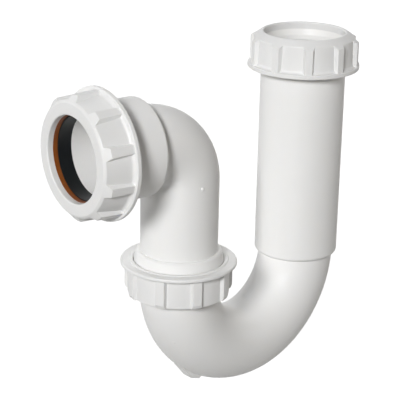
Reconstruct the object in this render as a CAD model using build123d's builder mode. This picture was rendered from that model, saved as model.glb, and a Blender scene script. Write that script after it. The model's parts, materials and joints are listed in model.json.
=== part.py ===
# Tubular washing machine trap: U-bend with standpipe socket, swivel outlet elbow, three ribbed nuts, seals.
# Millimetres. Origin: centre of the pipe stop in the standpipe socket. +Z up the standpipe, outlet towards -X.
import os
from math import cos, radians, sin, tan

from build123d import *

os.makedirs("parts", exist_ok=True)

# Standpipe socket for 40 mm nominal waste pipe, 43 mm outside, and the bend under it
inlet_tube_od = 48.0
inlet_tube_wall = 2.25
inlet_rim_z = 120.6
inlet_mouth_wall = 1.0
inlet_mouth_depth = 3.0
foot_depth = 2.6
foot_round = 2.2
bend_od = 43.0
bend_wall = 2.3
leg_span = 93.0

# Room round the pipe in the seals, the slip washer and the nuts' mouths
seal_room = 0.15
washer_room = 0.85
mouth_room = 1.05

# Inlet nut and its seal ring
inlet_thread_room = 2.0
inlet_nut_wall = 3.0
inlet_nut_length = 20.4
inlet_nut_lip = 4.0
inlet_nut_cone = 2.8
inlet_nut_taper = 0.5
inlet_nut_face_set = 4.2
inlet_nut_nose_round = 1.2
inlet_flange_reach = 2.6
inlet_rib_count = 10
inlet_rib_height = 2.0
inlet_rib_width = 4.0
inlet_rib_taper = 0.1
inlet_rib_turn = 12.4
inlet_seal_t = 3.5
inlet_seal_inset = 0.8
inlet_seal_lead = 1.0
inlet_seal_spigot = 2.5
inlet_seal_clearance = 0.3

# Elbow: upright, tight bend, outlet socket
elbow_turn = -5.5
elbow_od = 42.5
elbow_wall = 2.25
elbow_crook = 1.55
elbow_bend_start_z = 60.6
outlet_collar_gap = 3.8
outlet_collar_wall = 1.8
outlet_collar_round = 1.6
outlet_stop_t = 3.8
outlet_socket_depth = 24.2
outlet_seat_step = 1.15
outlet_seat_flare = 1.8
outlet_seat_length = 6.8

# Outlet nut, slip washer and tapered seal
outlet_thread_room = 2.0
outlet_nut_wall = 3.7
outlet_nut_length = 19.1
outlet_nut_lip = 3.6
outlet_nut_cone = 1.1
outlet_nut_taper = 1.7
outlet_nut_face_set = 1.3
outlet_nut_nose_round = 1.0
outlet_flange_reach = 3.0
outlet_rib_count = 10
outlet_rib_height = 1.7
outlet_rib_width = 4.2
outlet_rib_taper = 0.7
outlet_rib_turn = 1.3
outlet_washer_t = 2.6
outlet_washer_inset = 1.3
outlet_seal_head = 1.2
outlet_seal_clearance = 0.1

# Union between bend and elbow
union_wall = 3.8
union_rim_z = 8.2
union_thread_end_z = -2.0
union_shoulder_z = -6.2
union_shoulder_inset = 0.7
union_socket_floor_z = 0.2
union_seal_t = 2.0
spigot_wall = 1.9
spigot_clearance = 0.3
spigot_gap = 0.8
elbow_flange_t = 2.6
elbow_flange_overlap = 0.45
elbow_flange_lead = 0.8
elbow_shoulder_set = 0.95
elbow_shoulder_top_z = 20.6
elbow_shoulder_draft = 1.1
elbow_shoulder_round = 0.8
union_thread_room = 1.3
union_nut_wall = 1.6
union_nut_length = 18.7
union_nut_clearance = 0.3
union_flange_reach = 4.0
union_flange_drop = 0.5
union_ridge_width = 2.0
union_hole_chamfer = 0.7
union_rim_round = 0.9
union_rib_count = 9
union_rib_height = 1.9
union_rib_width = 4.9
union_rib_run = 2.0
union_rib_drop = 0.95
union_rib_turn = 8.0

# Form that the nuts share
nut_flange_t = 2.5
nut_edge_round = 0.8
flange_sweep = 1.65
flange_round = 0.5
rib_flank = 66.0
rib_round = 0.5
rib_bite = 0.6
rib_sink = 0.05

# Moulding lug under the bend: a ramp, a falling flat and a steep back
lug_angle = 240.0
lug_flat = 6.6
lug_height = 2.6
lug_fall = 1.3
lug_ramp = 11.7
lug_back = 1.3
lug_width = 6.0
lug_root = 1.7

# Diameters worked out from the sizes above
socket_bore = inlet_tube_od - 2 * inlet_tube_wall
seal_bore = socket_bore + 2 * seal_room
washer_bore = socket_bore + 2 * washer_room
nut_mouth = socket_bore + 2 * mouth_room
bend_bore = bend_od - 2 * bend_wall
inlet_mouth_bore = inlet_tube_od - 2 * inlet_mouth_wall
inlet_nut_bore = inlet_tube_od + 2 * inlet_thread_room
inlet_nut_panel_od = inlet_nut_bore + 2 * inlet_nut_wall
inlet_nut_crest_od = inlet_nut_panel_od + 2 * inlet_rib_height
inlet_nut_nose_crest_od = inlet_nut_crest_od - 2 * inlet_rib_taper
inlet_nut_flange_od = inlet_nut_panel_od + 2 * inlet_flange_reach
inlet_nut_nose_od = inlet_nut_panel_od - 2 * inlet_nut_taper
inlet_nut_face_od = inlet_nut_nose_od - 2 * inlet_nut_face_set
inlet_seal_od = inlet_nut_bore - 2 * inlet_seal_inset
inlet_spigot_od = inlet_mouth_bore - 2 * inlet_seal_clearance
elbow_bore = elbow_od - 2 * elbow_wall
outlet_seat_small = socket_bore + 2 * outlet_seat_step
outlet_seat_large = outlet_seat_small + 2 * outlet_seat_flare
outlet_collar_od = outlet_seat_large + 2 * outlet_collar_wall
outlet_nut_bore = outlet_collar_od + 2 * outlet_thread_room
outlet_nut_panel_od = outlet_nut_bore + 2 * outlet_nut_wall
outlet_nut_crest_od = outlet_nut_panel_od + 2 * outlet_rib_height
outlet_nut_nose_crest_od = outlet_nut_crest_od - 2 * outlet_rib_taper
outlet_nut_flange_od = outlet_nut_panel_od + 2 * outlet_flange_reach
outlet_nut_nose_od = outlet_nut_panel_od - 2 * outlet_nut_taper
outlet_nut_face_od = outlet_nut_nose_od - 2 * outlet_nut_face_set
outlet_washer_od = outlet_nut_bore - 2 * outlet_washer_inset
spigot_od = elbow_bore + 2 * spigot_wall
union_socket_bore = spigot_od + 2 * spigot_clearance
union_thread_root = union_socket_bore + 2 * union_wall
elbow_flange_od = union_thread_root + 2 * elbow_flange_overlap
elbow_shoulder_od = elbow_flange_od - 2 * elbow_shoulder_set
elbow_shoulder_top_od = elbow_shoulder_od - 2 * elbow_shoulder_draft
union_nut_hole = elbow_shoulder_od + 2 * union_nut_clearance
union_nut_ridge_od = union_nut_hole + 2 * union_ridge_width
union_nut_bore = union_thread_root + 2 * union_thread_room
union_nut_panel_od = union_nut_bore + 2 * union_nut_wall
union_nut_crest_od = union_nut_panel_od + 2 * union_rib_height
union_nut_flange_od = union_nut_panel_od + 2 * union_flange_reach

# Heights, and distances out along the outlet from the union's centre line
inlet_lip_z = inlet_rim_z + inlet_seal_t
inlet_top_z = inlet_lip_z + inlet_nut_lip
inlet_foot_z = inlet_top_z - inlet_nut_length
elbow_bend_radius = elbow_od / 2 + elbow_crook
outlet_axis_z = elbow_bend_start_z + elbow_bend_radius
outlet_collar_start = elbow_bend_radius + outlet_collar_gap
outlet_stop = outlet_collar_start + outlet_stop_t
outlet_seat_start = outlet_stop + outlet_socket_depth
outlet_rim = outlet_seat_start + outlet_seat_length
outlet_seal_front = outlet_rim + outlet_seal_head
outlet_lip = outlet_seal_front + outlet_washer_t
outlet_face = outlet_lip + outlet_nut_lip
outlet_tail = outlet_face - outlet_nut_length
spigot_end_z = union_socket_floor_z + spigot_gap
flange_base_z = union_rim_z + union_seal_t
flange_top_z = flange_base_z + elbow_flange_t
union_top_z = flange_top_z + nut_flange_t
union_foot_z = union_top_z - union_nut_length
bend_radius = leg_span / 2
bend_outer = bend_radius + bend_od / 2
out_x = -cos(radians(elbow_turn))
out_y = -sin(radians(elbow_turn))

# Axes, and sketch planes that hold half sections: first axis along the centre line, second axis out from it
union_axis = Axis((-leg_span, 0, 0), (0, 0, 1))
outlet_axis = Axis((-leg_span, 0, outlet_axis_z), (out_x, out_y, 0))
bend_axis = Axis((-bend_radius, 0, 0), (0, 1, 0))
elbow_bend_axis = Axis(
    (-leg_span + elbow_bend_radius * out_x, elbow_bend_radius * out_y, elbow_bend_start_z),
    (-out_y, out_x, 0),
)
inlet_plane = Plane(origin=(0, 0, 0), x_dir=(0, 0, 1), z_dir=(0, 1, 0))
union_plane = Plane(origin=(-leg_span, 0, 0), x_dir=(0, 0, 1), z_dir=(0, 1, 0))
outlet_plane = Plane(origin=(-leg_span, 0, outlet_axis_z), x_dir=(out_x, out_y, 0), z_dir=(out_y, -out_x, 0))


def nut_section(plane, tail, lip, face, bore, flange_od, panel_od, nose, nose_od, face_od, nose_round):
    """Half section of a compression nut: flange at the tail, panel with draft, cone to a flat face."""
    flange_front = tail + nut_flange_t
    with BuildSketch(plane) as section:
        with BuildLine():
            Polyline(
                (tail, bore / 2),
                (tail, flange_od / 2),
                (flange_front, flange_od / 2),
                (flange_front, panel_od / 2),
                (nose, nose_od / 2),
                (face, face_od / 2),
                (face, nut_mouth / 2),
                (lip, nut_mouth / 2),
                (lip, bore / 2),
                close=True,
            )
        make_face()
        fillet(section.vertices().sort_by_distance((flange_front, panel_od / 2))[0], flange_sweep)
        fillet(section.vertices().sort_by_distance((nose, nose_od / 2))[0], nose_round)
        for corner in ((tail, flange_od / 2), (flange_front, flange_od / 2)):
            fillet(section.vertices().sort_by_distance(corner)[0], flange_round)
        for corner in ((face, face_od / 2), (face, nut_mouth / 2)):
            fillet(section.vertices().sort_by_distance(corner)[0], nut_edge_round)
    return section.sketch


def rib_section(plane, start, lip, face, bore, crest_od, nose_crest_od, nose, nose_od, face_od):
    """Half section that the ribs of a compression nut are cut to. Their noses run on along the nut's cone."""
    cone_slope = (nose_od - face_od) / (face - nose) / 2
    cone_foot = face_od / 2 - rib_sink
    front = face - rib_bite / 2
    crest_end = face - (nose_crest_od / 2 - cone_foot) / cone_slope
    with BuildSketch(plane) as section:
        with BuildLine():
            Polyline(
                (start, bore / 2 + rib_bite),
                (lip + rib_bite, bore / 2 + rib_bite),
                (lip + rib_bite, nut_mouth / 2 + rib_bite),
                (front, nut_mouth / 2 + rib_bite),
                (front, cone_foot + (face - front) * cone_slope),
                (crest_end, nose_crest_od / 2),
                (start, crest_od / 2),
                close=True,
            )
        make_face()
    return section.sketch


def rib_pattern(plane, inner_od, crest_od, width, count, turn):
    """Ends of the ribs round a nut, with sloping flanks and rounded crests."""
    rib_depth = (crest_od - inner_od) / 2
    rib_foot = width + 2 * rib_depth / tan(radians(rib_flank))
    with BuildSketch(plane) as pattern:
        with PolarLocations((inner_od + crest_od) / 4, count, start_angle=turn):
            Trapezoid(rib_foot, rib_depth, rib_flank, rotation=-90)
        crests = [v for v in pattern.vertices() if Vector(v.X, v.Y).length > crest_od / 2 - rib_bite]
        fillet(crests, rib_round)
    return pattern.sketch


# Trap body: union socket, bend and standpipe socket in one moulding
with BuildPart() as trap_body:
    with BuildSketch(Plane.XY):
        Circle(bend_od / 2)
    revolve(axis=bend_axis, revolution_arc=180)
    with BuildSketch(inlet_plane):
        with BuildLine():
            Line((-foot_depth, 0), (-foot_depth, inlet_tube_od / 2 - foot_round))
            CenterArc((foot_round - foot_depth, inlet_tube_od / 2 - foot_round), foot_round, 180, -90)
            Line((foot_round - foot_depth, inlet_tube_od / 2), (inlet_rim_z, inlet_tube_od / 2))
            Line((inlet_rim_z, inlet_tube_od / 2), (inlet_rim_z, 0))
            Line((inlet_rim_z, 0), (-foot_depth, 0))
        make_face()
    revolve(axis=Axis.Z)
    with BuildSketch(union_plane):
        with BuildLine():
            Polyline(
                (union_shoulder_z, 0),
                (union_shoulder_z, bend_od / 2 - union_shoulder_inset),
                (union_thread_end_z, union_thread_root / 2),
                (union_rim_z, union_thread_root / 2),
                (union_rim_z, 0),
                close=True,
            )
        make_face()
    revolve(axis=union_axis)
    lug_out = Vector(cos(radians(lug_angle)), 0, sin(radians(lug_angle)))
    lug_along = Vector(-lug_out.Z, 0, lug_out.X)
    lug_plane = Plane(
        origin=Vector(-bend_radius, 0, 0) + lug_out * bend_outer,
        x_dir=lug_along,
        z_dir=lug_along.cross(lug_out),
    )
    with BuildSketch(lug_plane):
        with BuildLine():
            Polyline(
                (-lug_flat / 2 - lug_ramp, -lug_root),
                (-lug_flat / 2, lug_height),
                (lug_flat / 2, lug_height - lug_fall),
                (lug_flat / 2 + lug_back, -lug_root),
                close=True,
            )
        make_face()
    extrude(amount=lug_width / 2, both=True)
    with BuildSketch(Plane.XY):
        Circle(bend_bore / 2)
    revolve(axis=bend_axis, revolution_arc=180, mode=Mode.SUBTRACT)
    with BuildSketch(inlet_plane):
        with BuildLine():
            Polyline(
                (0, 0),
                (0, socket_bore / 2),
                (inlet_rim_z - inlet_mouth_depth, socket_bore / 2),
                (inlet_rim_z - inlet_mouth_depth, inlet_mouth_bore / 2),
                (inlet_rim_z, inlet_mouth_bore / 2),
                (inlet_rim_z, 0),
                close=True,
            )
        make_face()
    revolve(axis=Axis.Z, mode=Mode.SUBTRACT)
    with BuildSketch(union_plane):
        with BuildLine():
            Polyline(
                (0, 0),
                (0, bend_bore / 2),
                (union_socket_floor_z, bend_bore / 2),
                (union_socket_floor_z, union_socket_bore / 2),
                (union_rim_z, union_socket_bore / 2),
                (union_rim_z, 0),
                close=True,
            )
        make_face()
    revolve(axis=union_axis, mode=Mode.SUBTRACT)
trap_body.part.label = "trap_body"
export_step(trap_body.part, "parts/trap_body.step")


# Outlet elbow: spigot, flange, shoulder, upright, tight bend and outlet socket in one moulding
with BuildPart() as outlet_elbow:
    with BuildSketch(union_plane):
        with BuildLine():
            Polyline(
                (spigot_end_z, 0),
                (spigot_end_z, spigot_od / 2),
                (flange_base_z, spigot_od / 2),
                (flange_base_z, elbow_flange_od / 2 - elbow_flange_lead),
                (flange_base_z + elbow_flange_lead, elbow_flange_od / 2),
                (flange_top_z, elbow_flange_od / 2),
                (flange_top_z, elbow_shoulder_od / 2),
                (union_top_z, elbow_shoulder_od / 2),
                (elbow_shoulder_top_z - elbow_shoulder_round, elbow_shoulder_top_od / 2),
                (elbow_shoulder_top_z, elbow_shoulder_top_od / 2 - elbow_shoulder_round),
                (elbow_shoulder_top_z, elbow_od / 2),
                (elbow_bend_start_z, elbow_od / 2),
                (elbow_bend_start_z, 0),
                close=True,
            )
        make_face()
    revolve(axis=union_axis)
    with BuildSketch(Plane(origin=(-leg_span, 0, elbow_bend_start_z))):
        Circle(elbow_od / 2)
    revolve(axis=elbow_bend_axis, revolution_arc=90)
    with BuildSketch(outlet_plane) as outlet_socket:
        with BuildLine():
            Polyline(
                (elbow_bend_radius, 0),
                (elbow_bend_radius, elbow_od / 2),
                (outlet_collar_start, elbow_od / 2),
                (outlet_collar_start, outlet_collar_od / 2),
                (outlet_rim, outlet_collar_od / 2),
                (outlet_rim, 0),
                close=True,
            )
        make_face()
        collar_corner = (outlet_collar_start, outlet_collar_od / 2)
        fillet(outlet_socket.vertices().sort_by_distance(collar_corner)[0], outlet_collar_round)
    revolve(axis=outlet_axis)
    with BuildSketch(Plane(origin=(-leg_span, 0, spigot_end_z))):
        Circle(elbow_bore / 2)
    extrude(amount=elbow_bend_start_z - spigot_end_z, mode=Mode.SUBTRACT)
    with BuildSketch(Plane(origin=(-leg_span, 0, elbow_bend_start_z))):
        Circle(elbow_bore / 2)
    revolve(axis=elbow_bend_axis, revolution_arc=90, mode=Mode.SUBTRACT)
    with BuildSketch(outlet_plane):
        with BuildLine():
            Polyline(
                (elbow_bend_radius, 0),
                (elbow_bend_radius, elbow_bore / 2),
                (outlet_stop, elbow_bore / 2),
                (outlet_stop, socket_bore / 2),
                (outlet_seat_start, socket_bore / 2),
                (outlet_seat_start, outlet_seat_small / 2),
                (outlet_rim, outlet_seat_large / 2),
                (outlet_rim, 0),
                close=True,
            )
        make_face()
    revolve(axis=outlet_axis, mode=Mode.SUBTRACT)
outlet_elbow.part.label = "outlet_elbow"
export_step(outlet_elbow.part, "parts/outlet_elbow.step")


# Outlet seal: black tapered ring in the socket's mouth
with BuildPart() as outlet_seal:
    with BuildSketch(outlet_plane):
        with BuildLine():
            Polyline(
                (outlet_seat_start, seal_bore / 2),
                (outlet_seat_start, outlet_seat_small / 2 - outlet_seal_clearance),
                (outlet_rim, outlet_seat_large / 2 - outlet_seal_clearance),
                (outlet_seal_front, outlet_seat_large / 2 - outlet_seal_clearance),
                (outlet_seal_front, seal_bore / 2),
                close=True,
            )
        make_face()
    revolve(axis=outlet_axis)
outlet_seal.part.label = "outlet_seal"
export_step(outlet_seal.part, "parts/outlet_seal.step")


# Outlet slip washer: flat brown ring between seal and nut lip
with BuildPart() as outlet_slip_washer:
    with BuildSketch(outlet_plane):
        with BuildLine():
            Polyline(
                (outlet_seal_front, washer_bore / 2),
                (outlet_seal_front, outlet_washer_od / 2),
                (outlet_lip, outlet_washer_od / 2),
                (outlet_lip, washer_bore / 2),
                close=True,
            )
        make_face()
    revolve(axis=outlet_axis)
outlet_slip_washer.part.label = "outlet_slip_washer"
export_step(outlet_slip_washer.part, "parts/outlet_slip_washer.step")


# Outlet nut: flange at the threaded end, ribs that run out along the coned edge of the flat face
with BuildPart() as outlet_nut:
    outlet_nose = outlet_face - outlet_nut_cone
    outlet_nut_section = nut_section(
        outlet_plane,
        outlet_tail,
        outlet_lip,
        outlet_face,
        outlet_nut_bore,
        outlet_nut_flange_od,
        outlet_nut_panel_od,
        outlet_nose,
        outlet_nut_nose_od,
        outlet_nut_face_od,
        outlet_nut_nose_round,
    )
    revolve(outlet_nut_section, axis=outlet_axis)
    outlet_rib_start = outlet_tail + nut_flange_t / 2
    with BuildPart(mode=Mode.PRIVATE) as outlet_ribs:
        outlet_rib_ends = rib_pattern(
            Plane(
                origin=(-leg_span + outlet_rib_start * out_x, outlet_rib_start * out_y, outlet_axis_z),
                x_dir=(0, 0, 1),
                z_dir=(out_x, out_y, 0),
            ),
            nut_mouth,
            outlet_nut_crest_od,
            outlet_rib_width,
            outlet_rib_count,
            outlet_rib_turn,
        )
        extrude(outlet_rib_ends, amount=outlet_face - outlet_rib_start)
        outlet_rib_section = rib_section(
            outlet_plane,
            outlet_rib_start,
            outlet_lip,
            outlet_face,
            outlet_nut_bore,
            outlet_nut_crest_od,
            outlet_nut_nose_crest_od,
            outlet_nose,
            outlet_nut_nose_od,
            outlet_nut_face_od,
        )
        revolve(outlet_rib_section, axis=outlet_axis, mode=Mode.INTERSECT)
    add(outlet_ribs.part)
outlet_nut.part.label = "outlet_nut"
export_step(outlet_nut.part, "parts/outlet_nut.step")


# Union seal: flat rubber ring between the bend's rim and the elbow's flange
with BuildPart() as union_seal:
    with BuildSketch(Plane(origin=(-leg_span, 0, union_rim_z))):
        Circle(union_thread_root / 2)
        Circle(union_socket_bore / 2, mode=Mode.SUBTRACT)
    extrude(amount=union_seal_t)
union_seal.part.label = "union_seal"
export_step(union_seal.part, "parts/union_seal.step")


# Union nut: flanged top with a low ridge round the elbow's hole, ribs with sloped feet on the skirt
with BuildPart() as union_nut:
    with BuildSketch(union_plane) as union_nut_section:
        with BuildLine():
            Polyline(
                (union_foot_z, union_nut_bore / 2),
                (union_foot_z, union_nut_panel_od / 2),
                (flange_top_z, union_nut_panel_od / 2),
                (flange_top_z, union_nut_flange_od / 2),
                (union_top_z - union_flange_drop, union_nut_flange_od / 2),
                (union_top_z - union_flange_drop, union_nut_ridge_od / 2 + union_flange_drop),
                (union_top_z, union_nut_ridge_od / 2),
                (union_top_z, union_nut_hole / 2 + union_hole_chamfer),
                (union_top_z - union_hole_chamfer, union_nut_hole / 2),
                (flange_top_z, union_nut_hole / 2),
                (flange_top_z, union_nut_bore / 2),
                close=True,
            )
        make_face()
        rim_rounds = {flange_top_z: flange_round, union_top_z - union_flange_drop: union_rim_round}
        for rim_z, rim_round in rim_rounds.items():
            rim_corner = (rim_z, union_nut_flange_od / 2)
            fillet(union_nut_section.vertices().sort_by_distance(rim_corner)[0], rim_round)
    revolve(axis=union_axis)
    union_rib_top_z = flange_top_z + nut_flange_t / 2
    union_rib_root_od = union_nut_bore + 2 * rib_bite
    with BuildPart(mode=Mode.PRIVATE) as union_ribs:
        union_rib_ends = rib_pattern(
            Plane(origin=(-leg_span, 0, union_foot_z)),
            union_rib_root_od,
            union_nut_crest_od,
            union_rib_width,
            union_rib_count,
            union_rib_turn,
        )
        extrude(union_rib_ends, amount=union_rib_top_z - union_foot_z)
        with BuildSketch(union_plane) as union_rib_section:
            with BuildLine():
                Polyline(
                    (union_foot_z, union_rib_root_od / 2),
                    (union_foot_z, union_nut_crest_od / 2 - union_rib_drop),
                    (union_foot_z + union_rib_run, union_nut_crest_od / 2),
                    (union_rib_top_z, union_nut_crest_od / 2),
                    (union_rib_top_z, union_rib_root_od / 2),
                    close=True,
                )
            make_face()
        revolve(union_rib_section.sketch, axis=union_axis, mode=Mode.INTERSECT)
    add(union_ribs.part)
union_nut.part.label = "union_nut"
export_step(union_nut.part, "parts/union_nut.step")


# Inlet seal: white ring on the tube's rim with a coned lead-in for the standpipe
with BuildPart() as inlet_seal:
    with BuildSketch(inlet_plane):
        with BuildLine():
            Polyline(
                (inlet_rim_z - inlet_seal_spigot, seal_bore / 2),
                (inlet_rim_z - inlet_seal_spigot, inlet_spigot_od / 2),
                (inlet_rim_z, inlet_spigot_od / 2),
                (inlet_rim_z, inlet_seal_od / 2),
                (inlet_lip_z, inlet_seal_od / 2),
                (inlet_lip_z, seal_bore / 2 + inlet_seal_lead),
                (inlet_rim_z, seal_bore / 2),
                close=True,
            )
        make_face()
    revolve(axis=Axis.Z)
inlet_seal.part.label = "inlet_seal"
export_step(inlet_seal.part, "parts/inlet_seal.step")


# Inlet nut: flange at the threaded end, ribs that run out on the coned top
with BuildPart() as inlet_nut:
    inlet_nose_z = inlet_top_z - inlet_nut_cone
    inlet_nut_section = nut_section(
        inlet_plane,
        inlet_foot_z,
        inlet_lip_z,
        inlet_top_z,
        inlet_nut_bore,
        inlet_nut_flange_od,
        inlet_nut_panel_od,
        inlet_nose_z,
        inlet_nut_nose_od,
        inlet_nut_face_od,
        inlet_nut_nose_round,
    )
    revolve(inlet_nut_section, axis=Axis.Z)
    inlet_rib_start = inlet_foot_z + nut_flange_t / 2
    with BuildPart(mode=Mode.PRIVATE) as inlet_ribs:
        inlet_rib_ends = rib_pattern(
            Plane(origin=(0, 0, inlet_rib_start)),
            nut_mouth,
            inlet_nut_crest_od,
            inlet_rib_width,
            inlet_rib_count,
            inlet_rib_turn,
        )
        extrude(inlet_rib_ends, amount=inlet_top_z - inlet_rib_start)
        inlet_rib_section = rib_section(
            inlet_plane,
            inlet_rib_start,
            inlet_lip_z,
            inlet_top_z,
            inlet_nut_bore,
            inlet_nut_crest_od,
            inlet_nut_nose_crest_od,
            inlet_nose_z,
            inlet_nut_nose_od,
            inlet_nut_face_od,
        )
        revolve(inlet_rib_section, axis=Axis.Z, mode=Mode.INTERSECT)
    add(inlet_ribs.part)
inlet_nut.part.label = "inlet_nut"
export_step(inlet_nut.part, "parts/inlet_nut.step")
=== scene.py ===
import json
from math import cos, pi, radians, sin

import bmesh
import bpy
from mathutils import Matrix, Vector


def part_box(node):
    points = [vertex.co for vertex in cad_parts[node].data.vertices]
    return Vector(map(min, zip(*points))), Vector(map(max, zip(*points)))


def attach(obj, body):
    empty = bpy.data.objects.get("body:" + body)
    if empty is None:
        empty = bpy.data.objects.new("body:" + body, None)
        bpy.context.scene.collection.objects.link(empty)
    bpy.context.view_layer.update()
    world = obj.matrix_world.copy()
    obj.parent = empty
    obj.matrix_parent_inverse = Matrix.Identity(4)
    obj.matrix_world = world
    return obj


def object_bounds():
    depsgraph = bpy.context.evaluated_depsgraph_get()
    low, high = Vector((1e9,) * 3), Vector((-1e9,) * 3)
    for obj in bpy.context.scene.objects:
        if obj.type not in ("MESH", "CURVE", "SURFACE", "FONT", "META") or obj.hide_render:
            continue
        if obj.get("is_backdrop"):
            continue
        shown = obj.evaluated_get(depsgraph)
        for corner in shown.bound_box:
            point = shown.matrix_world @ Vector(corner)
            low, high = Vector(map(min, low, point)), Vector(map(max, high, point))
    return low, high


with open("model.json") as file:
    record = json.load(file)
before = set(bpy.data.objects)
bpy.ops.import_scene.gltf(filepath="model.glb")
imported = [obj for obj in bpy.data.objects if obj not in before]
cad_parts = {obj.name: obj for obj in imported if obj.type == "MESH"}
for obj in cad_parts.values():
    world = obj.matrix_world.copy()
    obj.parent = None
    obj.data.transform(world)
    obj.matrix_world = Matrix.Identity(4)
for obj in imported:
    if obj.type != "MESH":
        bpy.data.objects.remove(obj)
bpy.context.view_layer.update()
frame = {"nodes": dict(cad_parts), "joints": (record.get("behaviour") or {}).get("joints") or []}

# One millimetre in the frame's metres
MM = 0.001
UP = Vector((0.0, 0.0, 1.0))

# Camera at the photograph's viewpoint: what it looks at, how far off, and its angles
AIM = Vector((-85.08, -7.54, 48.61)) * MM
CAMERA_DISTANCE = 785.6 * MM
CAMERA_AZIMUTH = radians(-43.3)
CAMERA_ELEVATION = radians(19.5)
CAMERA_ROLL = radians(1.21)
CAMERA_NEAR = 0.01
CAMERA_FAR = 50.0
IMAGE_SIDE_PX = 400
FOCAL_PX = 1460.0
SENSOR_WIDTH = 36.0

# White plastic: how many of each pattern go to a metre, the depth of its grain, and light inside its wall
CLOUDS_PER_M = 38.0
FLOWS_PER_M = 140.0
RIPPLES_PER_M = 700.0
SPECKS_PER_M = 3200.0
CLOUD_SHARE = 0.75
RIPPLE_SHARE = 0.5
GRAIN_DEPTH = 0.02 * MM
PLASTIC_IOR = 1.49
SCATTER_SHARE = 0.2
SCATTER_TINT = (1.0, 0.95, 0.85)
SCATTER_DEPTH = 1.2 * MM

# Rubber: its bloom and its pores
BLOOMS_PER_M = 170.0
BLOOM_ROUGHNESS = 0.14
PORES_PER_M = 1800.0
PORE_STRENGTH = 0.2
PORE_DEPTH = 0.03 * MM
RUBBER_IOR = 1.4

# The middle of a noise pattern's values
NOISE_MIDDLE = 0.5

# Screw threads: all right-hand, one pitch for the three nuts
PITCH = 3.5 * MM
RIDGE_BASE = 1.7 * MM
RIDGE_CREST = 0.8 * MM
RIDGE_SINK = 0.25 * MM
RIDGE_STEPS = 80
RIDGE_FADE_TURNS = 0.3
RIDGE_TIP_SHARE = 0.03

# How far under its rim each thread starts, and the room between a tube and its nut's bore
INLET_THREAD_DROP = 13.2 * MM
OUTLET_THREAD_DROP = 12.0 * MM
UNION_THREAD_DROP = 9.6 * MM
NUT_ROOM = 2.0 * MM
UNION_NUT_ROOM = 1.3 * MM

# Which way a ridge stands from its wall: away from the centre line, or towards it
OUTWARD = 1.0
INWARD = -1.0

# Gate marks: where the photograph shows them, in pixels, and their section in shares of radius and height
ELBOW_GATE_PX = (202.6, 189.4)
BEND_GATE_PX = (173.5, 342.6)
GATE_SECTION = ((1.0, -0.6), (0.92, 0.35), (0.72, 0.9), (0.45, 1.0), (0.22, 0.55))
GATE_STEPS = 20

# Studio: the floor's depth under the part and its side, how far off it turns into the backdrop, the lamps
FLOOR_DROP = 110.0 * MM
FLOOR_SIDE = 8.0
FADE_START = 0.4
FADE_END = 1.4
FLECKS_PER_M = 60.0
PAPER_DIM = (0.245, 0.245, 0.242, 1.0)
PAPER_BRIGHT = (0.255, 0.255, 0.252, 1.0)
BACKDROP_LEVEL = 1.0
LAMP_DISTANCE = 3.0
NEUTRAL = (1.0, 1.0, 1.0)
WARM = (1.0, 0.95, 0.88)


# Node wiring

class Wire:
    """A value on its way between nodes. Arithmetic on it adds Math nodes."""

    def __init__(self, graph, socket):
        self.graph = graph
        self.socket = socket

    def _math(self, operation, first, second):
        return self.graph.node("ShaderNodeMath", {"operation": operation}, {0: first, 1: second})

    def __add__(self, other):
        return self._math("ADD", self, other)

    def __radd__(self, other):
        return self._math("ADD", other, self)

    def __sub__(self, other):
        return self._math("SUBTRACT", self, other)

    def __rsub__(self, other):
        return self._math("SUBTRACT", other, self)

    def __mul__(self, other):
        return self._math("MULTIPLY", self, other)

    def __rmul__(self, other):
        return self._math("MULTIPLY", other, self)

    def __truediv__(self, other):
        return self._math("DIVIDE", self, other)

    def __rtruediv__(self, other):
        return self._math("DIVIDE", other, self)

    def highest(self, other):
        return self._math("MAXIMUM", self, other)

    def lowest(self, other):
        return self._math("MINIMUM", self, other)


class Graph:
    """A node tree, and the one method that adds nodes to it."""

    # The Mix node's sockets that carry colours
    COLOUR_A = 6
    COLOUR_B = 7
    COLOUR_OUT = 2

    def __init__(self, tree):
        self.tree = tree
        tree.nodes.clear()

    def node(self, kind, settings=None, sockets=None, output=0):
        """Add a node of a kind: its settings first, then values or links of its sockets."""
        made = self.tree.nodes.new(kind)
        for name, value in (settings or {}).items():
            setattr(made, name, value)
        for key, value in (sockets or {}).items():
            if isinstance(value, Wire):
                self.tree.links.new(value.socket, made.inputs[key])
            else:
                made.inputs[key].default_value = value
        return Wire(self, made.outputs[output]) if made.outputs else None

    def places(self):
        return self.node("ShaderNodeTexCoord", output="Object")

    def noise(self, where, scale, detail=2.0):
        sockets = {"Vector": where, "Scale": scale, "Detail": detail}
        return self.node("ShaderNodeTexNoise", {}, sockets, "Fac")

    def blend(self, share, first, second):
        sockets = {0: share, self.COLOUR_A: first, self.COLOUR_B: second}
        return self.node("ShaderNodeMix", {"data_type": "RGBA"}, sockets, self.COLOUR_OUT)

    def mixed(self, share, first, second):
        return self.node("ShaderNodeMixShader", {}, {0: share, 1: first, 2: second})

    def glow(self, tint, strength):
        return self.node("ShaderNodeEmission", {}, {"Color": (*tint, 1.0), "Strength": strength})

    def bump(self, height, strength, distance):
        sockets = {"Height": height, "Strength": strength, "Distance": distance}
        return self.node("ShaderNodeBump", {}, sockets)


def material_graph(name):
    material = bpy.data.materials.new(name)
    material.use_nodes = True
    return material, Graph(material.node_tree)


# Finishes

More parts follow.
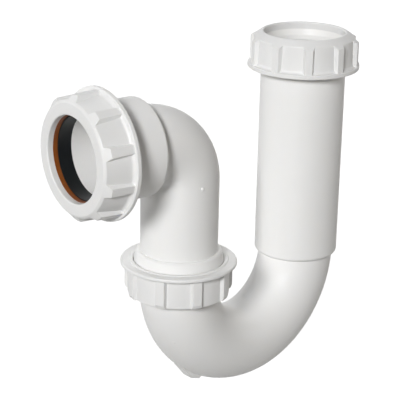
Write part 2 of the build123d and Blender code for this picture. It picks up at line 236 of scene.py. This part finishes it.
def moulded_white(name, bright, dim, roughness, roughness_swing, grain, gloss):
    """White polypropylene: faint cloudiness of the melt and fine mould grain."""
    material, graph = material_graph(name)
    where = graph.places()
    cloud = graph.noise(where, CLOUDS_PER_M, detail=3.0)
    flow = graph.noise(where, FLOWS_PER_M)
    ripple = graph.noise(where, RIPPLES_PER_M)
    speck = graph.noise(where, SPECKS_PER_M, detail=1.0)
    melt = cloud * CLOUD_SHARE + flow * (1.0 - CLOUD_SHARE)
    relief = ripple * RIPPLE_SHARE + speck * (1.0 - RIPPLE_SHARE)
    shader = graph.node(
        "ShaderNodeBsdfPrincipled",
        {},
        {
            "Base Color": graph.blend(melt, dim, bright),
            "Roughness": roughness + (ripple - NOISE_MIDDLE) * roughness_swing,
            "IOR": PLASTIC_IOR,
            "Specular IOR Level": gloss,
            "Subsurface Weight": SCATTER_SHARE,
            "Subsurface Radius": SCATTER_TINT,
            "Subsurface Scale": SCATTER_DEPTH,
            "Normal": graph.bump(relief, grain, GRAIN_DEPTH),
        },
    )
    graph.node("ShaderNodeOutputMaterial", {}, {"Surface": shader})
    return material


def plain_rubber(name, dark, light, roughness):
    """Rubber or fibre ring: faint bloom, fine grain."""
    material, graph = material_graph(name)
    where = graph.places()
    bloom = graph.noise(where, BLOOMS_PER_M, detail=3.0)
    pores = graph.noise(where, PORES_PER_M)
    shader = graph.node(
        "ShaderNodeBsdfPrincipled",
        {},
        {
            "Base Color": graph.blend(bloom, dark, light),
            "Roughness": roughness + bloom * BLOOM_ROUGHNESS,
            "IOR": RUBBER_IOR,
            "Normal": graph.bump(pores, PORE_STRENGTH, PORE_DEPTH),
        },
    )
    graph.node("ShaderNodeOutputMaterial", {}, {"Surface": shader})
    return material


tube_white = moulded_white(
    "tube_white_satin",
    bright=(0.900, 0.899, 0.891, 1.0),
    dim=(0.882, 0.880, 0.869, 1.0),
    roughness=0.44,
    roughness_swing=0.12,
    grain=0.25,
    gloss=0.34,
)
nut_white = moulded_white(
    "nut_white_smooth",
    bright=(0.848, 0.848, 0.842, 1.0),
    dim=(0.828, 0.827, 0.819, 1.0),
    roughness=0.40,
    roughness_swing=0.08,
    grain=0.12,
    gloss=0.5,
)
ring_white = moulded_white(
    "ring_white_soft",
    bright=(0.940, 0.934, 0.918, 1.0),
    dim=(0.922, 0.914, 0.894, 1.0),
    roughness=0.48,
    roughness_swing=0.10,
    grain=0.30,
    gloss=0.5,
)
washer_brown = plain_rubber(
    "slip_ring_brown",
    dark=(0.195, 0.050, 0.007, 1.0),
    light=(0.315, 0.093, 0.013, 1.0),
    roughness=0.36,
)
rubber_black = plain_rubber(
    "seal_black_rubber",
    dark=(0.004, 0.005, 0.006, 1.0),
    light=(0.009, 0.011, 0.013, 1.0),
    roughness=0.34,
)

NODE_FINISHES = {
    "trap_body": tube_white,
    "outlet_elbow": tube_white,
    "outlet_nut": nut_white,
    "union_nut": nut_white,
    "inlet_nut": nut_white,
    "inlet_seal": ring_white,
    "outlet_slip_washer": washer_brown,
    "outlet_seal": rubber_black,
    "union_seal": rubber_black,
}
for node_name, finish in NODE_FINISHES.items():
    for slot in frame["nodes"][node_name].material_slots:
        slot.material = finish


# Centre lines and sizes read from the frame

def joint(name):
    return next(j for j in frame["joints"] if j["name"] == name)


def furthest(node_name, start, way):
    """How far a node reaches along a centre line."""
    return max((v.co - start).dot(way) for v in frame["nodes"][node_name].data.vertices)


OUTLET_START = Vector(joint("outlet_nut_turn")["pos_m"])
OUTLET_WAY = Vector(joint("outlet_nut_turn")["axis"]).normalized()
UNION_START = Vector(joint("elbow_swivel")["pos_m"])
UNION_START.z = 0.0
INLET_START = Vector((0.0, 0.0, 0.0))

body_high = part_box("trap_body")[1]
INLET_TUBE_R = body_high.x
INLET_RIM = body_high.z
UNION_ROOT_R = body_high.y
UNION_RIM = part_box("union_seal")[0].z
COLLAR_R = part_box("outlet_elbow")[1].z - OUTLET_START.z
OUTLET_RIM = furthest("outlet_elbow", OUTLET_START, OUTLET_WAY)


def finish_piece(name, mesh, body):
    """Turn a finished mesh into a piece that moves with a body."""
    mesh.name = name
    piece = bpy.data.objects.new(name, mesh)
    bpy.context.scene.collection.objects.link(piece)
    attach(piece, body)


# Threads

def screw_tree():
    """Geometry nodes: a ridge of trapezoid section wound on a helix round +Z. It fades out at both ends."""
    tree = bpy.data.node_groups.new("screw_ridge", "GeometryNodeTree")
    for name, kind in (
        ("Radius", "NodeSocketFloat"),
        ("Turns", "NodeSocketFloat"),
        ("Height", "NodeSocketFloat"),
        ("Side", "NodeSocketFloat"),
        ("Finish", "NodeSocketMaterial"),
    ):
        tree.interface.new_socket(name=name, in_out="INPUT", socket_type=kind)
    tree.interface.new_socket(name="Geometry", in_out="OUTPUT", socket_type="NodeSocketGeometry")
    graph = Graph(tree)

    def given(name):
        return graph.node("NodeGroupInput", output=name)

    helix = graph.node(
        "GeometryNodeCurveSpiral",
        {},
        {
            "Resolution": RIDGE_STEPS,
            "Rotations": given("Turns"),
            "Start Radius": given("Radius"),
            "End Radius": given("Radius"),
            "Height": given("Turns") * PITCH,
        },
    )
    level = graph.node("GeometryNodeSetCurveNormal", {"mode": "Z_UP"}, {"Curve": helix})
    along = graph.node("GeometryNodeSplineParameter", output="Factor")
    from_end = along.lowest(1.0 - along) * given("Turns")
    fade = (from_end / RIDGE_FADE_TURNS).lowest(1.0).highest(RIDGE_TIP_SHARE)
    depth = given("Height") + RIDGE_SINK
    section = graph.node(
        "GeometryNodeCurvePrimitiveQuadrilateral",
        {"mode": "TRAPEZOID"},
        {"Bottom Width": RIDGE_BASE, "Top Width": RIDGE_CREST, "Height": depth, "Offset": 0.0},
    )
    shift = graph.node("ShaderNodeCombineXYZ", {}, {0: given("Side") * (depth / 2.0 - RIDGE_SINK)})
    lean = graph.node("ShaderNodeCombineXYZ", {}, {2: given("Side") * (-pi / 2.0)})
    placed = graph.node(
        "GeometryNodeTransform", {}, {"Geometry": section, "Translation": shift, "Rotation": lean}
    )
    ridge = graph.node(
        "GeometryNodeCurveToMesh",
        {},
        {"Curve": level, "Profile Curve": placed, "Scale": fade, "Fill Caps": True},
    )
    real = graph.node("GeometryNodeRealizeInstances", {}, {"Geometry": ridge})
    painted = graph.node("GeometryNodeSetMaterial", {}, {"Geometry": real, "Material": given("Finish")})
    graph.node("NodeGroupOutput", {}, {"Geometry": painted})
    return tree


SCREW_TREE = screw_tree()


def screw_ridge(ridge, centre_line, first, radius, side, finish):
    """A helical ridge as a plain mesh on a body. It starts first metres along its centre line."""
    name, body, turns, height = ridge
    start, way = centre_line
    carrier = bpy.data.objects.new(name + "_nodes", bpy.data.meshes.new(name + "_nodes"))
    bpy.context.scene.collection.objects.link(carrier)
    modifier = carrier.modifiers.new("ridge", "NODES")
    modifier.node_group = SCREW_TREE
    given = {"Radius": radius, "Turns": turns, "Height": height, "Side": side, "Finish": finish}
    for item in SCREW_TREE.interface.items_tree:
        if item.in_out == "INPUT":
            modifier[item.identifier] = given[item.name]
    bpy.context.view_layer.update()
    evaluated = carrier.evaluated_get(bpy.context.evaluated_depsgraph_get())
    mesh = bpy.data.meshes.new_from_object(evaluated)
    bpy.data.objects.remove(carrier)
    turn = UP.rotation_difference(way).to_matrix().to_4x4()
    mesh.transform(Matrix.Translation(start + way * first) @ turn)
    finish_piece(name, mesh, body)


def screwed_joint(centre_line, first, tube_radius, nut_room, on_tube, in_nut):
    """A tube's thread and its nut's, each given by name, body, turns and height of the ridge.

    They start half a pitch apart, so that the ridges lie between each other.
    """
    screw_ridge(on_tube, centre_line, first, tube_radius, OUTWARD, tube_white)
    nut_first = first + PITCH / 2
    nut_radius = tube_radius + nut_room
    screw_ridge(in_nut, centre_line, nut_first, nut_radius, INWARD, nut_white)


screwed_joint(
    centre_line=(INLET_START, UP),
    first=INLET_RIM - INLET_THREAD_DROP,
    tube_radius=INLET_TUBE_R,
    nut_room=NUT_ROOM,
    on_tube=("inlet_tube_thread", "trap", 3.3, 1.25 * MM),
    in_nut=("inlet_nut_thread", "inlet_nut", 2.6, 1.25 * MM),
)
screwed_joint(
    centre_line=(OUTLET_START, OUTLET_WAY),
    first=OUTLET_RIM - OUTLET_THREAD_DROP,
    tube_radius=COLLAR_R,
    nut_room=NUT_ROOM,
    on_tube=("outlet_collar_thread", "elbow", 3.0, 1.2 * MM),
    in_nut=("outlet_nut_thread", "outlet_nut", 2.4, 1.2 * MM),
)
screwed_joint(
    centre_line=(UNION_START, UP),
    first=UNION_RIM - UNION_THREAD_DROP,
    tube_radius=UNION_ROOT_R,
    nut_room=UNION_NUT_ROOM,
    on_tube=("union_socket_thread", "trap", 2.5, 0.55 * MM),
    in_nut=("union_nut_thread", "union_nut", 2.0, 0.5 * MM),
)


# Camera axes, and the surface that the camera sees at a pixel

def toward(azimuth, elevation):
    """Direction out from the object, by the angles that the views use."""
    return Vector((
        sin(azimuth) * cos(elevation),
        -cos(azimuth) * cos(elevation),
        sin(elevation),
    ))


def camera_axes():
    """The camera's place, and its right, up and backward directions."""
    back = toward(CAMERA_AZIMUTH, CAMERA_ELEVATION)
    level_right = Vector((cos(CAMERA_AZIMUTH), sin(CAMERA_AZIMUTH), 0.0))
    level_up = back.cross(level_right)
    right = level_right * cos(CAMERA_ROLL) + level_up * sin(CAMERA_ROLL)
    up = level_up * cos(CAMERA_ROLL) - level_right * sin(CAMERA_ROLL)
    return AIM + back * CAMERA_DISTANCE, right, up, back


CAMERA_AXES = camera_axes()


def seen_spot(node_name, pixel):
    """Place and outward direction of a node's surface at a pixel of the photograph."""
    eye, right, up, back = CAMERA_AXES
    across = (pixel[0] - IMAGE_SIDE_PX / 2) / FOCAL_PX
    down = (pixel[1] - IMAGE_SIDE_PX / 2) / FOCAL_PX
    sight = (right * across - up * down - back).normalized()
    hit, place, outward, _ = frame["nodes"][node_name].ray_cast(eye, sight)
    if not hit:
        raise ValueError("no surface of " + node_name + " at that pixel")
    return place, outward.normalized()


# Gate marks left by the mould

def gate_mark(name, body, node_name, pixel, radius, height):
    """A low pip with a dimpled top, as a sprue leaves, on the surface seen at a pixel."""
    foot, outward = seen_spot(node_name, pixel)
    side = outward.orthogonal().normalized()
    other = outward.cross(side)
    shape = bmesh.new()
    loops = []
    for reach, lift in GATE_SECTION:
        loop = []
        for step in range(GATE_STEPS):
            angle = 2.0 * pi * step / GATE_STEPS
            out = (side * cos(angle) + other * sin(angle)) * (radius * reach)
            loop.append(shape.verts.new(foot + out + outward * (height * lift)))
        loops.append(loop)
    for low, high in zip(loops, loops[1:]):
        for step in range(GATE_STEPS):
            after = (step + 1) % GATE_STEPS
            shape.faces.new((low[step], low[after], high[after], high[step]))
    shape.faces.new(loops[-1])
    shape.faces.new(list(reversed(loops[0])))
    for face in shape.faces:
        face.smooth = True
    mesh = bpy.data.meshes.new(name)
    shape.to_mesh(mesh)
    shape.free()
    mesh.materials.append(tube_white)
    finish_piece(name, mesh, body)


gate_mark("elbow_gate_mark", "elbow", "outlet_elbow", ELBOW_GATE_PX, radius=1.1 * MM, height=0.6 * MM)
gate_mark("bend_gate_mark", "trap", "trap_body", BEND_GATE_PX, radius=0.8 * MM, height=0.2 * MM)


# Studio

def camera():
    eye, right, up, back = CAMERA_AXES
    lens = bpy.data.cameras.new("camera")
    lens.sensor_width = SENSOR_WIDTH
    lens.lens = SENSOR_WIDTH * FOCAL_PX / IMAGE_SIDE_PX
    lens.clip_start = CAMERA_NEAR
    lens.clip_end = CAMERA_FAR
    holder = bpy.data.objects.new("camera", lens)
    holder.matrix_world = Matrix((
        (right.x, up.x, back.x, eye.x),
        (right.y, up.y, back.y, eye.y),
        (right.z, up.z, back.z, eye.z),
        (0.0, 0.0, 0.0, 1.0),
    ))
    bpy.context.scene.collection.objects.link(holder)
    bpy.context.scene.camera = holder


def soft_box(name, azimuth, elevation, side, power, tint=NEUTRAL, mirrored=True):
    """A square lamp that faces the part. Where it isn't mirrored, it leaves no glint on gloss."""
    lamp = bpy.data.lights.new(name, "AREA")
    lamp.shape = "SQUARE"
    lamp.size = side
    lamp.energy = power
    lamp.color = tint
    out = toward(radians(azimuth), radians(elevation))
    holder = bpy.data.objects.new(name, lamp)
    holder.visible_glossy = mirrored
    holder.location = AIM + out * LAMP_DISTANCE
    holder.rotation_mode = "QUATERNION"
    holder.rotation_quaternion = (-out).to_track_quat("-Z", "Y")
    bpy.context.scene.collection.objects.link(holder)


def seen_directly(graph):
    """1 for rays from the camera, or mirrored or let through by a surface, 0 for light that fills in."""
    path = "ShaderNodeLightPath"
    camera_ray = graph.node(path, output="Is Camera Ray")
    glossy_ray = graph.node(path, output="Is Glossy Ray")
    passing_ray = graph.node(path, output="Is Transmission Ray")
    return camera_ray.highest(glossy_ray).highest(passing_ray)


def white_room(level):
    """A white backdrop that adds only a little warm light of its own."""
    world = bpy.data.worlds.new("white_room")
    world.use_nodes = True
    bpy.context.scene.world = world
    graph = Graph(world.node_tree)
    kind = "ShaderNodeBackground"
    seen = graph.node(kind, {}, {"Color": (*NEUTRAL, 1.0), "Strength": BACKDROP_LEVEL})
    fill = graph.node(kind, {}, {"Color": (*WARM, 1.0), "Strength": level})
    both = graph.mixed(seen_directly(graph), fill, seen)
    graph.node("ShaderNodeOutputWorld", {}, {"Surface": both})


def floor(shown, bounced):
    """Pale paper. It looks white, fades into the backdrop, and sends little light back to the object."""
    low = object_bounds()[0].z - FLOOR_DROP
    half = FLOOR_SIDE / 2
    mesh = bpy.data.meshes.new("floor")
    mesh.from_pydata(
        [(-half, -half, low), (half, -half, low), (half, half, low), (-half, half, low)],
        [],
        [(0, 1, 2, 3)],
    )
    material, graph = material_graph("floor_paper")
    where = graph.places()
    colour = graph.blend(graph.noise(where, FLECKS_PER_M), PAPER_DIM, PAPER_BRIGHT)
    paper = graph.node("ShaderNodeBsdfDiffuse", {}, {"Color": colour})
    away = graph.node("ShaderNodeVectorMath", {"operation": "LENGTH"}, {0: where}, "Value")
    fade = ((away - FADE_START) / (FADE_END - FADE_START)).highest(0.0).lowest(1.0)
    look = graph.mixed(fade, graph.glow(NEUTRAL, shown), graph.glow(NEUTRAL, BACKDROP_LEVEL))
    light = graph.mixed(seen_directly(graph), graph.glow(WARM, bounced), look)
    both = graph.node("ShaderNodeAddShader", {}, {0: paper, 1: light})
    graph.node("ShaderNodeOutputMaterial", {}, {"Surface": both})
    mesh.materials.append(material)
    sheet = bpy.data.objects.new("floor", mesh)
    bpy.context.scene.collection.objects.link(sheet)
    sheet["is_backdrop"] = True


camera()
floor(shown=0.93, bounced=0.08)
white_room(level=0.01)
soft_box("key", azimuth=-62.0, elevation=25.5, side=0.66, power=74.0)
soft_box("left_fill", azimuth=-157.0, elevation=12.0, side=1.4, power=15.5)
soft_box("right_fill", azimuth=52.0, elevation=11.0, side=1.4, power=13.5, tint=WARM)
soft_box("top_fill", azimuth=140.0, elevation=60.0, side=1.4, power=18.0)
soft_box("rear_fill", azimuth=137.0, elevation=8.0, side=1.0, power=26.0, mirrored=False)

bpy.context.scene.view_settings.view_transform = "Standard"
